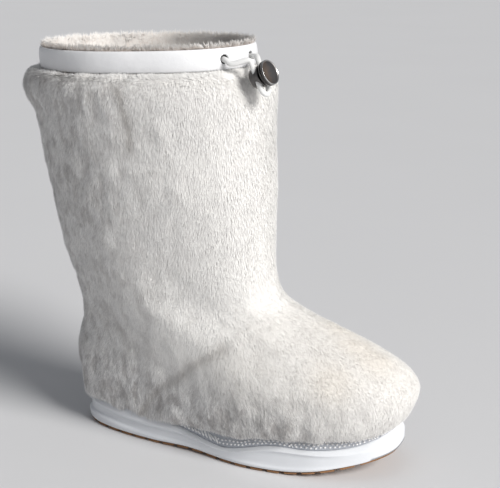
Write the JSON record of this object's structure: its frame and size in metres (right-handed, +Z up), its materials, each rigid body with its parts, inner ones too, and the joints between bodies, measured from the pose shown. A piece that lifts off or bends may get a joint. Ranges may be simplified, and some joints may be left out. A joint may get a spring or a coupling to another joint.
{
  "type": "mukluk boot",
  "caption": "Calf-high white shearling boot for the right foot, with a drawcord collar, metal cord lock, stitched rand and sculpted sneaker-type sole.",
  "frame": {"origin": "on the floor, at the middle of the heel's tread, which is the mount heel_rest", "axes": "+X towards the toe, +Y towards the inner side of the foot, +Z up"},
  "size_m": [0.3293, 0.1557, 0.3231],
  "materials": {
    "gum_rubber": "matt",
    "white_foam": "satin",
    "felt": "matt",
    "rand_leather": "satin",
    "shearling": "furry",
    "white_leather": "satin",
    "polished_metal": "polished",
    "cord": "matt"
  },
  "bodies": {
    "boot": {"outsole": "gum_rubber", "midsole": "white_foam", "insole": "felt", "rand": "rand_leather", "upper": "shearling", "collar_binding": "white_leather", "toggle_barrel": "polished_metal", "drawcord": "cord"},
    "plunger": {"toggle_plunger": "polished_metal"}
  },
  "joints": [
    {"name": "plunger_press", "type": "slide", "parent": "boot", "child": "plunger", "axis": [-0.89, 0.1612, -0.4265], "range_m": [0, 0.002], "stiffness_N_per_m": 400, "springref_m": -0.002}
  ]
}
